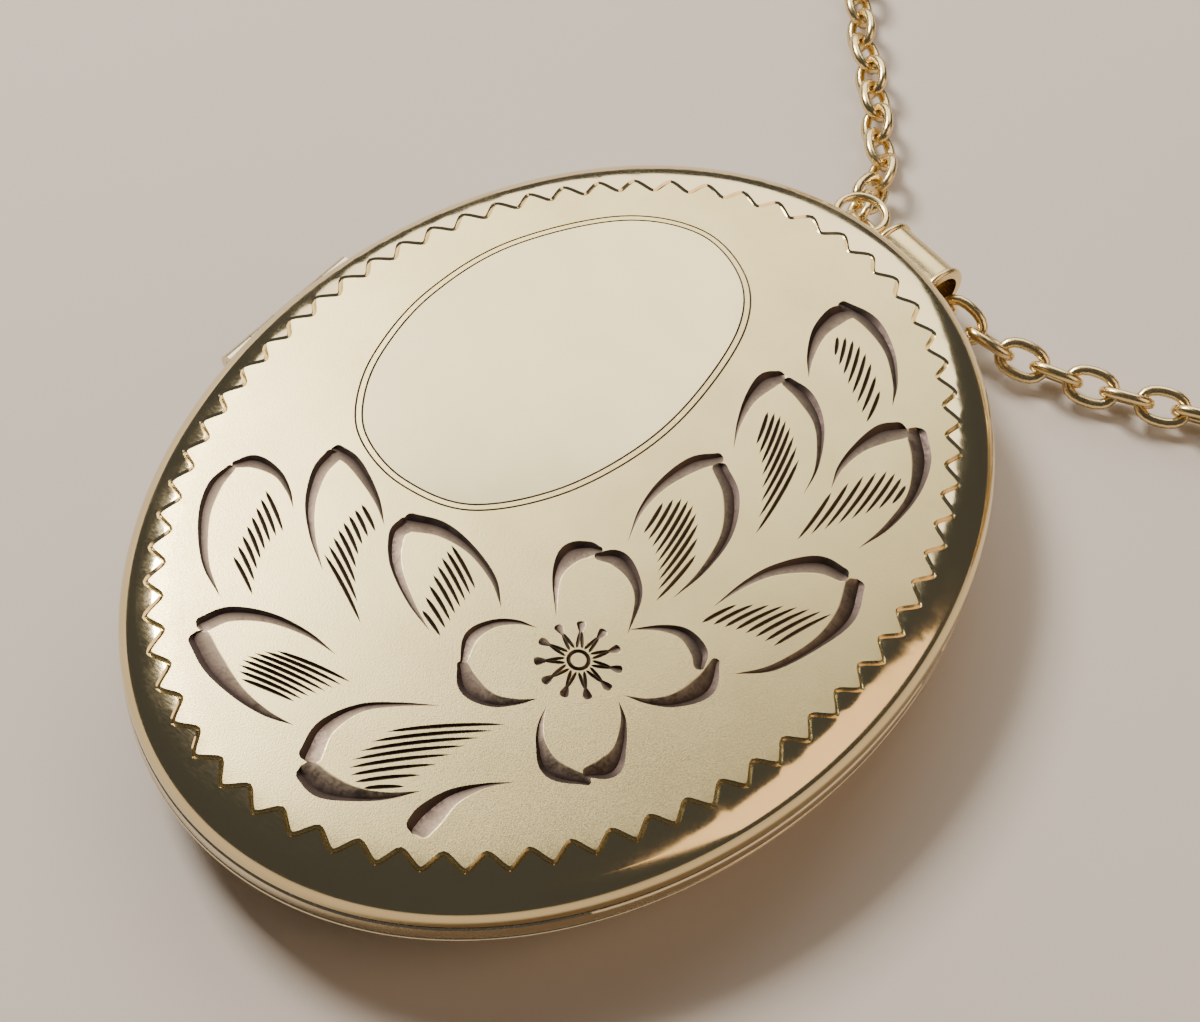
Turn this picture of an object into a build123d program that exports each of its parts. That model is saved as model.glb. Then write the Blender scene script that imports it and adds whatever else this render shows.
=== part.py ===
"""Oval hinged locket on a fine cable chain, lying closed on its back.

Millimetres. The origin is the centre of the flat on the back cover, +Z points out of the
engraved front, +Y runs along the oval towards the bail and +X towards the thumb notch.
"""
import math
import os
from build123d import *

os.makedirs("parts", exist_ok=True)

# ---- oval outline --------------------------------------------------------------------------
HALF_LENGTH = 19.25                   # outline along Y
HALF_WIDTH = 14.6                     # outline along X
SQUEEZE = HALF_WIDTH / HALF_LENGTH    # round shapes about Z are narrowed in X by this

# ---- heights -------------------------------------------------------------------------------
SEAM_Z = 3.4                          # hinge axis and parting plane
SEAM_GAP = 0.12                       # between the edges of the two covers
SHOULDER_Z = 5.05                     # where the engraved field turns into the polished edge
CROWN_Z = 5.8                         # top of the front
LIP_Z = 3.75                          # top of the straight lip of the front cover
WALL_Z = 2.4                          # foot of the straight wall of the back cover
SHEET = 0.35                          # stamped sheet thickness

# ---- radii along Y, before the squeeze ------------------------------------------------------
SHOULDER_R = 17.0
WALL_FOOT_R = 19.05
FLAT_R = 10.5                         # flat on the back
FLAT_SWELL = 0.03                     # stamped bulge of the flat, dressed off level

# ---- frames that hold the pictures -----------------------------------------------------------
FRAME_R = 18.7                        # outer edge of the frame's flange
WELL_R = 17.3                         # wall of the well
LEDGE_R = 15.9                        # inner edge of the ledge
FLANGE = 0.25                         # flange thickness
FACE_GAP = 0.1                        # seam plane to the face of either frame
WELL_WALL = 0.2
BEZEL_DEPTH = 0.35
WINDOW = 0.25
PHOTO = 0.2
PLAY = 0.02                           # between stacked pieces

# ---- hinge ----------------------------------------------------------------------------------
HINGE_X = -14.5
KNUCKLE_R = 0.45
PIN_R = 0.22
RUNNING_FIT = 0.02
KNUCKLES = 5
KNUCKLE_LENGTH = 1.36
KNUCKLE_PITCH = 1.4
NOTCH_HALF_Y = 3.6
NOTCH_HALF_Z = 0.6
LEAF_END_X = -13.3
LEAF = (0.1, 0.38)                    # the leaf's faces, off the seam plane

# ---- catch and thumb notch --------------------------------------------------------------------
TONGUE_X = 13.55
TONGUE = (0.3, 2.4, 0.75)             # thickness, width, reach below the front frame
SLOT = (0.5, 2.7)
THUMB_Y = 3.3
THUMB_R = 2.2

# ---- bail -----------------------------------------------------------------------------------
BAIL_CENTRE = (2.55, 19.97, 1.95)
BAIL_TURN = -12.4                     # degrees from +X, along the outline
BAIL_LENGTH = 3.4
BAIL_R = 1.35
BAIL_BORE_R = 1.05
BAIL_BEAD_R = 0.16
RING_CENTRE = (-0.45, 20.3, 3.13)
RING_R = 1.07
RING_WIRE_R = 0.18

# ---- chain ------------------------------------------------------------------------------------
CHAIN_D = 1.7
LAID_Z = 0.9                          # chain centre where it lies
COIL_CENTRE = (23.5, 42.5)
LOWER_COIL_R = (7.6, 13.3)            # inner and outer radius
UPPER_COIL_R = (6.5, 13.25)
COIL_TOP_Z = 1.74
UPPER_BOTTOM_Z = 1.78
UPPER_TOP_Z = 3.52
COIL_ROUND = 0.5

# ---- spring ring clasp, in the middle of the coil -----------------------------------------------
CLASP_Z = 1.1
CLASP_R = 2.1
CLASP_TUBE_R = 0.6
CLASP_BORE_R = 0.42
CLASP_GAP = (62.0, 118.0)             # degrees, open part of the clasp's ring
BOLT_R = 0.38
BOLT_SPAN = (20.0, 121.0)
BOLT_TRAVEL = 48.0
KNOB_ANGLE = 52.0
KNOB_R = 0.17
KNOB_REACH = 1.0
EYE_R = 0.75
EYE_WIRE_R = 0.22
LINK_R = 0.9
LINK_WIRE_R = 0.2
END_RING_R = 1.25
END_RING_ANGLE = -60.0
END_RING_OUT = 2.35                   # its centre, from the clasp's centre
SPRING_ANGLE = -62.0
SPRING_COIL_R = 0.19
SPRING_WIRE_R = 0.05
SPRING_LENGTH = 1.5
SPRING_PITCH = 0.25


def front_section(inset):
    """Half section of the front dome, moved inwards by inset."""
    rim = HALF_LENGTH - inset
    shoulder = (SHOULDER_R - 0.6 * inset, SHOULDER_Z - inset)
    crown = (0, CROWN_Z - inset)
    seam = SEAM_Z + SEAM_GAP / 2
    turn_r = shoulder[0] + 0.55 * (rim - shoulder[0])
    turn_z = LIP_Z + 0.55 * (shoulder[1] - LIP_Z)
    bulge = (shoulder[0] / 2, shoulder[1] + 0.75 * (crown[1] - shoulder[1]))
    with BuildLine() as section:
        Polyline((0, seam), (rim, seam), (rim, LIP_Z))
        Bezier((rim, LIP_Z), (rim, turn_z), (turn_r, shoulder[1] - 0.11), shoulder)
        ThreePointArc(shoulder, bulge, crown)
        Line(crown, (0, seam))
    return section.line


def back_section(inset):
    """Half section of the back cover, moved inwards by inset."""
    rim = HALF_LENGTH - inset
    foot = (WALL_FOOT_R - inset, WALL_Z)
    flat = (FLAT_R - 0.4 * inset, inset)
    seam = SEAM_Z - SEAM_GAP / 2
    with BuildLine() as section:
        Polyline((0, seam), (rim, seam), foot)
        Bezier(foot, (foot[0] - 0.25, 1.1 + 0.4 * inset), (15.2 - inset, inset), flat)
        Polyline(flat, (0, inset - FLAT_SWELL), (0, seam))
    return section.line


def turned(line, mode=Mode.ADD):
    """Turns a half section about Z; it is narrowed into an oval later."""
    with BuildSketch(Plane.XZ) as half:
        add(line)
        make_face()
    revolve(half.sketch, axis=Axis.Z, mode=mode)


def oval_ring(outer_r, inner_r, bottom, top, mode=Mode.ADD):
    """A flat oval ring, or an oval plate when inner_r is 0."""
    with BuildSketch(Plane.XY.offset(bottom)) as ring:
        Ellipse(outer_r * SQUEEZE, outer_r)
        if inner_r:
            Ellipse(inner_r * SQUEEZE, inner_r, mode=Mode.SUBTRACT)
    extrude(ring.sketch, amount=top - bottom, mode=mode)


def block(low, high, mode=Mode.SUBTRACT):
    """A box between two corners."""
    size = [b - a for a, b in zip(low, high)]
    middle = tuple((a + b) / 2 for a, b in zip(low, high))
    with Locations(middle):
        Box(*size, mode=mode)


def hinge_notch():
    """Room for the knuckles in the wall of either cover."""
    block((HINGE_X - 1, -NOTCH_HALF_Y, SEAM_Z - NOTCH_HALF_Z),
          (HINGE_X + KNUCKLE_R + 0.1, NOTCH_HALF_Y, SEAM_Z + NOTCH_HALF_Z))


def thumb_notch():
    """A shallow lens cut in the edges for a thumbnail."""
    x = HALF_WIDTH * math.sqrt(1 - (THUMB_Y / HALF_LENGTH) ** 2)
    with Locations((x + THUMB_R - 0.22, THUMB_Y, SEAM_Z)):
        Cylinder(THUMB_R, 0.5, mode=Mode.SUBTRACT)


def ring_at(angle, radius, z=CLASP_Z):
    """A point at an angle and radius about the middle of the coil."""
    a = math.radians(angle)
    return (COIL_CENTRE[0] + radius * math.cos(a), COIL_CENTRE[1] + radius * math.sin(a), z)


# ---- covers ---------------------------------------------------------------------------------
with BuildPart() as front_cover:
    turned(front_section(0))
    turned(front_section(SHEET), Mode.SUBTRACT)
    scale(by=(SQUEEZE, 1, 1))
    hinge_notch()
    thumb_notch()
front_cover.part.label = "front_cover"

with BuildPart() as back_cover:
    turned(back_section(0))
    turned(back_section(SHEET), Mode.SUBTRACT)
    scale(by=(SQUEEZE, 1, 1))
    block((-HALF_WIDTH, -HALF_LENGTH, -1), (HALF_WIDTH, HALF_LENGTH, 0))
    hinge_notch()
    thumb_notch()
back_cover.part.label = "back_cover"


# ---- picture frames: the same stack on both sides of the seam plane ---------------------------
def off_seam(side, near, far):
    """Bottom and top of a layer between two distances from the seam plane."""
    return sorted((SEAM_Z + side * near, SEAM_Z + side * far))


FACE = FACE_GAP
BEZEL_BACK = FACE + BEZEL_DEPTH
WINDOW_NEAR = BEZEL_BACK + PLAY
WINDOW_FAR = WINDOW_NEAR + WINDOW
PHOTO_NEAR = WINDOW_FAR + PLAY
PHOTO_FAR = PHOTO_NEAR + PHOTO
LEDGE_NEAR = PHOTO_FAR + PLAY
LEDGE_FAR = LEDGE_NEAR + 0.2


def frame(side):
    """Flange, well wall and ledge of one frame, with room for the hinge leaves."""
    oval_ring(FRAME_R, WELL_R, *off_seam(side, FACE, FACE + FLANGE))
    oval_ring(WELL_R + WELL_WALL, WELL_R, *off_seam(side, FACE, LEDGE_FAR))
    oval_ring(WELL_R + WELL_WALL, LEDGE_R, *off_seam(side, LEDGE_NEAR, LEDGE_FAR))
    block((HINGE_X - 1, -NOTCH_HALF_Y, SEAM_Z - 1), (LEAF_END_X, NOTCH_HALF_Y, SEAM_Z + 1))


with BuildPart() as front_frame:
    frame(1)
front_frame.part.label = "front_frame"

with BuildPart() as back_frame:
    frame(-1)
    block((TONGUE_X + TONGUE[0] / 2 - SLOT[0] / 2, -SLOT[1] / 2, SEAM_Z - 1),
          (TONGUE_X + TONGUE[0] / 2 + SLOT[0] / 2, SLOT[1] / 2, SEAM_Z))
back_frame.part.label = "back_frame"

stack = {}
for name, side in (("front", 1), ("back", -1)):
    with BuildPart() as bezel:
        oval_ring(WELL_R - PLAY, LEDGE_R + 0.25, *off_seam(side, FACE, BEZEL_BACK))
        oval_ring(LEDGE_R + 0.25, LEDGE_R - 0.25, *off_seam(side, FACE + 0.12, BEZEL_BACK))
    stack[name + "_bezel"] = bezel.part
    with BuildPart() as window:
        oval_ring(WELL_R - PLAY, 0, *off_seam(side, WINDOW_NEAR, WINDOW_FAR))
    stack[name + "_window"] = window.part
    with BuildPart() as photo:
        oval_ring(WELL_R - PLAY, 0, *off_seam(side, PHOTO_NEAR, PHOTO_FAR))
    stack[name + "_picture"] = photo.part

# ---- hinge ----------------------------------------------------------------------------------
HINGE_LENGTH = KNUCKLE_PITCH * (KNUCKLES - 1) + KNUCKLE_LENGTH


def knuckles(side, first):
    """Every other knuckle, each with a leaf soldered to its frame."""
    bottom, top = off_seam(side, *LEAF)
    bore = PIN_R + (RUNNING_FIT if side > 0 else 0)
    for i in range(first, KNUCKLES, 2):
        y = KNUCKLE_PITCH * (i - (KNUCKLES - 1) / 2)
        low, high = y - KNUCKLE_LENGTH / 2, y + KNUCKLE_LENGTH / 2
        block((HINGE_X, low, bottom), (LEAF_END_X, high, top), Mode.ADD)
        with BuildSketch(Plane.XZ.offset(-low)) as barrel:
            with Locations((HINGE_X, SEAM_Z)):
                Circle(KNUCKLE_R)
        extrude(barrel.sketch, amount=-KNUCKLE_LENGTH)
    with BuildSketch(Plane.XZ.offset(-HINGE_LENGTH)) as hole:
        with Locations((HINGE_X, SEAM_Z)):
            Circle(bore)
    extrude(hole.sketch, amount=2 * HINGE_LENGTH, mode=Mode.SUBTRACT)


with BuildPart() as front_knuckles:
    knuckles(1, 1)
front_knuckles.part.label = "front_knuckles"

with BuildPart() as back_knuckles:
    knuckles(-1, 0)
back_knuckles.part.label = "back_knuckles"

with BuildPart() as hinge_pin:
    with BuildSketch(Plane.XZ.offset(-HINGE_LENGTH / 2)):
        with Locations((HINGE_X, SEAM_Z)):
            Circle(PIN_R)
    extrude(amount=HINGE_LENGTH)
hinge_pin.part.label = "hinge_pin"

# ---- catch ----------------------------------------------------------------------------------
with BuildPart() as catch_tongue:
    block((TONGUE_X, -TONGUE[1] / 2, SEAM_Z + FACE_GAP - TONGUE[2]),
          (TONGUE_X + TONGUE[0], TONGUE[1] / 2, SEAM_Z + FACE_GAP), Mode.ADD)
    fillet(catch_tongue.edges().filter_by(Axis.X).group_by(Axis.Z)[0], radius=0.25)
    with Locations((TONGUE_X + TONGUE[0], 0, SEAM_Z - 0.42)):
        Cylinder(0.07, 1.2, rotation=(90, 0, 0))
catch_tongue.part.label = "catch_tongue"

# ---- bail: a tube along the rim for the chain, and a small soldered ring beside it --------------
bail_plane = Plane(BAIL_CENTRE, z_dir=Vector(1, 0, 0).rotate(Axis.Z, BAIL_TURN))
with BuildPart() as bail_tube:
    with BuildSketch(bail_plane.offset(-BAIL_LENGTH / 2)):
        Circle(BAIL_R)
        Circle(BAIL_BORE_R, mode=Mode.SUBTRACT)
    extrude(amount=BAIL_LENGTH)
    for end in (-1, 1):
        bead_plane = bail_plane.offset(end * (BAIL_LENGTH / 2 - BAIL_BEAD_R))
        with Locations(bead_plane.location):
            Torus(BAIL_R - 0.05, BAIL_BEAD_R)
bail_tube.part.label = "bail_tube"

with BuildPart() as bail_ring:
    with Locations(RING_CENTRE):
        Torus(RING_R, RING_WIRE_R)
bail_ring.part.label = "bail_ring"

# ---- chain: the stretch of each strand from the bail to the coil -------------------------------
LEFT_ROUTE = [
    (2.55, 19.97, 1.95),
    (-0.30, 20.60, 1.95),
    (-1.70, 22.30, 1.30),
    (-1.65, 24.60, LAID_Z),
    (-3.60, 26.90, LAID_Z),
    (-5.30, 29.20, LAID_Z),
    (-8.00, 31.90, LAID_Z),
    (-10.50, 35.40, LAID_Z),
    (-12.40, 40.20, LAID_Z),
    (-10.40, 46.30, LAID_Z),
    (-4.40, 51.40, LAID_Z),
    (4.00, 54.70, LAID_Z),
    (12.00, 56.60, 1.50),
    (18.00, 56.40, 2.60),
    (23.50, 54.90, 2.65),
]
RIGHT_ROUTE = [
    (2.55, 19.97, 1.95),
    (4.70, 19.495, 1.95),
    (6.90, 19.45, 1.30),
    (9.40, 20.15, LAID_Z),
    (12.30, 21.00, LAID_Z),
    (15.60, 22.45, LAID_Z),
    (19.40, 24.00, LAID_Z),
    (24.00, 27.30, LAID_Z),
    (29.76, 31.74, LAID_Z),
]


def tail_route(start_angle, start_r, turn, bend, steps, level, start_z, end_z):
    """Centre line from the innermost turn inwards: an arc that touches that turn, then sinks."""
    offset = start_r - bend
    a = math.radians(start_angle)
    middle = (COIL_CENTRE[0] + offset * math.cos(a), COIL_CENTRE[1] + offset * math.sin(a))
    points = []
    for i in range(steps + 1):
        b = a + math.radians(turn) * i / steps
        sink = max(0, (i - level) / (steps - level))
        points.append((middle[0] + bend * math.cos(b), middle[1] + bend * math.sin(b),
                       start_z + (end_z - start_z) * sink))
    return points


def soft_radii(name, route):
    """The largest corner radii that the runs of a route allow."""
    corners = []
    for a, b, c in zip(route, route[1:], route[2:]):
        before, after = Vector(*b) - Vector(*a), Vector(*c) - Vector(*b)
        half_turn = math.radians(before.get_angle(after)) / 2
        corners.append(0.45 * min(before.length, after.length) / math.tan(half_turn))
    print(name, "radii in mm:", [round(r, 1) for r in corners])
    return corners


def chain_tube(name, route):
    """A plain tube of the chain's outer size along a route."""
    with BuildLine() as path:
        FilletPolyline(*route, radius=soft_radii(name, route))
    centre = path.wire()
    with BuildSketch(Plane(centre @ 0, z_dir=centre % 0)) as section:
        Circle(CHAIN_D / 2)
    with BuildPart() as tube:
        sweep(section.sketch, path=centre)
    print(name, "tube length and volume over section:", round(centre.length, 1),
          round(tube.part.volume / (math.pi * CHAIN_D ** 2 / 4), 1))
    return tube.part


LEFT_TAIL = tail_route(134, 7.4, -180, 5.55, 7, 3, 2.65, CLASP_Z + 0.1)
RIGHT_TAIL = tail_route(35, 8.5, 154, 6.7, 6, 4, LAID_Z, CLASP_Z)
strands = {
    "chain_left": chain_tube("chain_left", LEFT_ROUTE),
    "chain_right": chain_tube("chain_right", RIGHT_ROUTE),
    "chain_left_end": chain_tube("chain_left_end", LEFT_TAIL),
    "chain_right_end": chain_tube("chain_right_end", RIGHT_TAIL),
}


def coil(radii, bottom, top):
    """The outer shape of one put-away strand, wound flat."""
    with BuildSketch(Plane((*COIL_CENTRE, bottom))) as turns:
        Circle(radii[1])
        Circle(radii[0], mode=Mode.SUBTRACT)
    extrude(turns.sketch, amount=top - bottom)


with BuildPart() as chain_right_coil:
    coil(LOWER_COIL_R, 0, COIL_TOP_Z)
    fillet(chain_right_coil.edges(), radius=COIL_ROUND)
chain_right_coil.part.label = "chain_right_coil"

with BuildPart() as chain_left_coil:
    coil(UPPER_COIL_R, UPPER_BOTTOM_Z, UPPER_TOP_Z)
    fillet(chain_left_coil.edges(), radius=COIL_ROUND)
chain_left_coil.part.label = "chain_left_coil"

# ---- clasp ----------------------------------------------------------------------------------
CLASP_CENTRE = (*COIL_CENTRE, CLASP_Z)


def arc_tube(radius, wire_r, first, last, mode=Mode.ADD):
    """Part of a round tube about the clasp's axis, between two angles."""
    cut = Plane(CLASP_CENTRE, x_dir=Vector(1, 0, 0).rotate(Axis.Z, first),
                z_dir=Vector(0, -1, 0).rotate(Axis.Z, first))
    with BuildSketch(cut) as wire:
        with Locations((radius, 0)):
            Circle(wire_r)
    revolve(wire.sketch, axis=Axis(CLASP_CENTRE, (0, 0, 1)), revolution_arc=last - first, mode=mode)


def tilted_ring(angle, distance, radius, wire_r, tilt):
    """A jump ring threaded at an angle about the clasp, tilted about its radial axis."""
    outwards = Vector(1, 0, 0).rotate(Axis.Z, angle)
    along = Vector(0, 1, 0).rotate(Axis.Z, angle)
    normal = along * math.cos(math.radians(tilt)) + Vector(0, 0, 1) * math.sin(math.radians(tilt))
    plane = Plane(Vector(*CLASP_CENTRE) + outwards * distance, x_dir=outwards, z_dir=normal)
    with Locations(plane.location):
        Torus(radius, wire_r)


with BuildPart() as clasp_body:
    arc_tube(CLASP_R, CLASP_TUBE_R, CLASP_GAP[1], CLASP_GAP[0] + 360)
    arc_tube(CLASP_R, CLASP_BORE_R, CLASP_GAP[1], CLASP_GAP[0] + 360, Mode.SUBTRACT)
    # the knob's slot through the outer wall
    with BuildSketch(Plane((*COIL_CENTRE, CLASP_Z - 0.22))) as slot:
        for i in range(11):
            a = KNOB_ANGLE + 6 - i * (BOLT_TRAVEL + 12) / 10
            with Locations(Vector(CLASP_R + 0.5, 0).rotate(Axis.Z, a)):
                Circle(0.42)
    extrude(amount=0.44, mode=Mode.SUBTRACT)
    with Locations(ring_at(180, CLASP_R + CLASP_TUBE_R + EYE_R - 0.1)):
        Torus(EYE_R, EYE_WIRE_R)
clasp_body.part.label = "clasp_body"

with BuildPart() as clasp_bolt:
    arc_tube(CLASP_R, BOLT_R, *BOLT_SPAN)
    knob_dir = Vector(1, 0, 0).rotate(Axis.Z, KNOB_ANGLE)
    with BuildSketch(Plane(Vector(*CLASP_CENTRE) + knob_dir * CLASP_R, z_dir=knob_dir)):
        Circle(KNOB_R)
    extrude(amount=KNOB_REACH)
    with Locations(Vector(*CLASP_CENTRE) + knob_dir * (CLASP_R + KNOB_REACH)):
        Sphere(KNOB_R * 1.5)
clasp_bolt.part.label = "clasp_bolt"

spring_mid = math.radians(SPRING_ANGLE)
spring_out = Vector(math.cos(spring_mid), math.sin(spring_mid), 0)
spring_along = Vector(math.sin(spring_mid), -math.cos(spring_mid), 0)
spring_base = Vector(*CLASP_CENTRE) + spring_out * (CLASP_R - 0.07) - spring_along * (SPRING_LENGTH / 2)
with BuildPart() as clasp_spring:
    with BuildLine() as spring_path:
        Helix(SPRING_PITCH, SPRING_LENGTH, SPRING_COIL_R, center=spring_base, direction=spring_along)
    spring_wire = spring_path.wire()
    with BuildSketch(Plane(spring_wire @ 0, z_dir=spring_wire % 0)):
        Circle(SPRING_WIRE_R)
    sweep(path=spring_wire, is_frenet=True)
clasp_spring.part.label = "clasp_spring"

with BuildPart() as clasp_link:
    tilted_ring(180, CLASP_R + CLASP_TUBE_R + EYE_R - 0.1 + LINK_R, LINK_R, LINK_WIRE_R, 45)
clasp_link.part.label = "clasp_link"

with BuildPart() as end_ring:
    tilted_ring(END_RING_ANGLE, END_RING_OUT, END_RING_R, LINK_WIRE_R, 45)
end_ring.part.label = "end_ring"

# ---- write one file for each piece ---------------------------------------------------------------
pieces = [front_cover, back_cover, front_frame, back_frame, front_knuckles, back_knuckles,
          hinge_pin, catch_tongue, bail_tube, bail_ring, chain_right_coil, chain_left_coil,
          clasp_body, clasp_bolt, clasp_spring, clasp_link, end_ring]
for piece in pieces:
    export_step(piece.part, f"parts/{piece.part.label}.step")
for name, solid in {**stack, **strands}.items():
    solid.label = name
    export_step(solid, f"parts/{name}.step")
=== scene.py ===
"""Looks of an oval engraved locket on a fine cable chain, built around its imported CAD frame.

Lengths are in millimetres in the frame's own axes, and MM turns them into metres. The front
faces +Z, the chain leaves towards +Y, and the hinge is on the -X side.
"""

import math
import random

import bmesh
import bpy
import numpy as np
from mathutils import Matrix, Vector
from mathutils.geometry import delaunay_2d_cdt


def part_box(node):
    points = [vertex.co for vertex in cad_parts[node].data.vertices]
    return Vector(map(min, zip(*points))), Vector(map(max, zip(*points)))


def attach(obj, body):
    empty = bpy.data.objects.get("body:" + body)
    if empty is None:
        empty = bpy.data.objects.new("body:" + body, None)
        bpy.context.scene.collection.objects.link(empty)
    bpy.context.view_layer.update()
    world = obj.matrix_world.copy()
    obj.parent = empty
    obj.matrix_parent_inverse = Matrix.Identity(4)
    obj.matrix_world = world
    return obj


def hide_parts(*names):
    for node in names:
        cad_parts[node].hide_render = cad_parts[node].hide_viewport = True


MM = 0.001
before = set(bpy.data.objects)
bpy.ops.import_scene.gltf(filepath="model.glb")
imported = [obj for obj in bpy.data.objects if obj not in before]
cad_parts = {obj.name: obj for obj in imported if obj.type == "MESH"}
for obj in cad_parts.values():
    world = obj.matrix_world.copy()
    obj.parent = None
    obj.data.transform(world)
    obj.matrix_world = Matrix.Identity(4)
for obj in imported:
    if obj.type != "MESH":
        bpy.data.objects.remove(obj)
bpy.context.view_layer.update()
random.seed(7)                            # for the lean of the chain's links

# ---- sizes of the covers, from the frame -------------------------------------------------------
FRONT_LOW, FRONT_HIGH = (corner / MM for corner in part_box("front_cover"))
BACK_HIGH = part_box("back_cover")[1] / MM
HALF_LENGTH = FRONT_HIGH.y
HALF_WIDTH = FRONT_HIGH.x
SQUEEZE = HALF_WIDTH / HALF_LENGTH        # round profiles are narrowed in X by this
CROWN_Z = FRONT_HIGH.z
LIP_EDGE_Z = FRONT_LOW.z
WALL_EDGE_Z = BACK_HIGH.z
SEAM_Z = (LIP_EDGE_Z + WALL_EDGE_Z) / 2

# ---- profile of the covers, in radii along Y ---------------------------------------------------
SHEET = 0.35
BEVEL = 0.07
STEP = 0.005                              # half the gap of two rows at a sudden change
SHOULDER = (17.0, 5.05)                   # the dome ends here and the turn down begins
SHOULDER_DIP = 0.11                       # from there down to the turn's first handle
TURN_REACH = 0.55                         # of the way to the turn's corner, for both handles
LIP_Z = 3.75                              # the turn ends here and the upright lip begins
RIM = (HALF_LENGTH, LIP_Z)
WALL_FOOT = (19.05, 2.4)                  # the back's wall ends here and its underside begins
FLAT_R = 10.5                             # the underside is flat inside this
INSIDE_R = HALF_LENGTH - SHEET
DOME_DROP = CROWN_Z - SHOULDER[1]
DOME_R = (SHOULDER[0] ** 2 + DOME_DROP ** 2) / (2 * DOME_DROP)
# control points of the curved parts, as (radius, height)
FRONT_TURN = (SHOULDER,
              (SHOULDER[0] + TURN_REACH * (RIM[0] - SHOULDER[0]), SHOULDER[1] - SHOULDER_DIP),
              (RIM[0], RIM[1] + TURN_REACH * (SHOULDER[1] - RIM[1])), RIM)
FRONT_INSIDE = ((INSIDE_R, LIP_Z), (INSIDE_R, 4.3), (17.9, 4.6), (16.8, 4.7))
FRONT_INSIDE_DOME = [(12, 5.05), (6, 5.33)]
BACK_OUTSIDE = (WALL_FOOT, (18.8, 1.1), (15.2, 0), (FLAT_R, 0))
BACK_INSIDE = ((FLAT_R, SHEET), (15.0, SHEET), (18.4, 1.3), (INSIDE_R, 2.5))
BACK_MIDDLE_R = 4                         # radius of the caps in the middle of the back
WALL_START_Z = 2.75                       # the back's upright wall begins here
FOOT_BEAD_R = 0.1                         # of the rolled foot below the wall
FOOT_BEAD_TURN = 1.2                      # its profile runs this far each way, in radians
FOOT_BEAD_ROWS = 7

# ---- mesh of the covers ------------------------------------------------------------------------
FIELD_R = 18.45                           # the engraved mesh ends here and the turned edge begins
FIELD_MARGIN = 0.2                        # from its outline to the nearest point of the grid
TURN_MARGIN = 0.02                        # from its outline to the edge's first row
TURN_STRIDE = 3                           # every third point of the turn is a row
TURN_END = 0.05                           # from the turn's end to the next row
GRID = 0.45                               # spacing of the grid that carries the dome
GRID_ROW = 0.87 * GRID                    # between its rows
CLEARANCE = 0.14                          # from the grid's points to any cut
PLAN_TOLERANCE = 1e-5
WHOLE_HULL = 0                            # output type of the triangulator
WELD_DISTANCE = 0.0005
COLUMN_STEP = 0.75                        # degrees between columns round the edge
COLUMN_GAP = 0.1                          # the least from those to the closer columns below
PAIR_STEP = 0.02                          # half a pair's gap, at each end of the hinge's notch
THUMB_STEP = 0.25                         # between columns at the thumb's notch
THUMB_COLUMNS = 14                        # to each side of the notch's middle

# ---- beads and notches -------------------------------------------------------------------------
BEADS = 150                               # round each bezel
BEAD_R = 0.13
BEAD_RING_R = 15.9
BEAD_OFF_SEAM = 0.26
BEAD_POINTS = (8, 5)                      # round a bead and from its top to its bottom
NOTCH_HALF_Y = 3.6                        # room for the hinge
NOTCH_HALF_Z = 0.6
THUMB_Y = 3.3                             # the thumb's notch, opposite the hinge
THUMB_R = 2.2
THUMB_DEPTH = 0.22
THUMB_HALF_Z = 0.25

# ---- engraved border and cartouche -------------------------------------------------------------
BORDER_CENTRE = (-0.11, -0.36)
BORDER_HALF = (12.77, 17.0)
BORDER_TURN = math.radians(-1.5)
BORDER_TEETH = 65
BORDER_STEPS = 12                         # points to a tooth
BORDER_RISE = 0.6
BORDER_POINT = 0.86                       # 0 is a sine wave and 1 has sharp points
BORDER_PHASE = 0.673                      # of the perimeter, from +X
BORDER_CUT = 0.19                         # width of the groove
BORDER_DEPTH = 0.09
OVAL_POINTS = 4001                        # on the oval that is measured to space the teeth
CARTOUCHE = [(-9.7, -0.3), (-8.6, -2.7), (-7.1, -4.1), (-4.7, -4.7), (-2.0, -4.0), (0.1, -1.3),
             (1.2, 2.3), (1.3, 5.9), (0.5, 10.0), (-1.2, 12.4), (-4.0, 13.3), (-7.0, 11.7),
             (-9.5, 7.5), (-10.2, 3.3)]
CARTOUCHE_CUT = 0.08
CARTOUCHE_DEPTH = 0.03
CARTOUCHE_GAP = 0.26                      # between its two lines
CARTOUCHE_STEPS = 10

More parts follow.
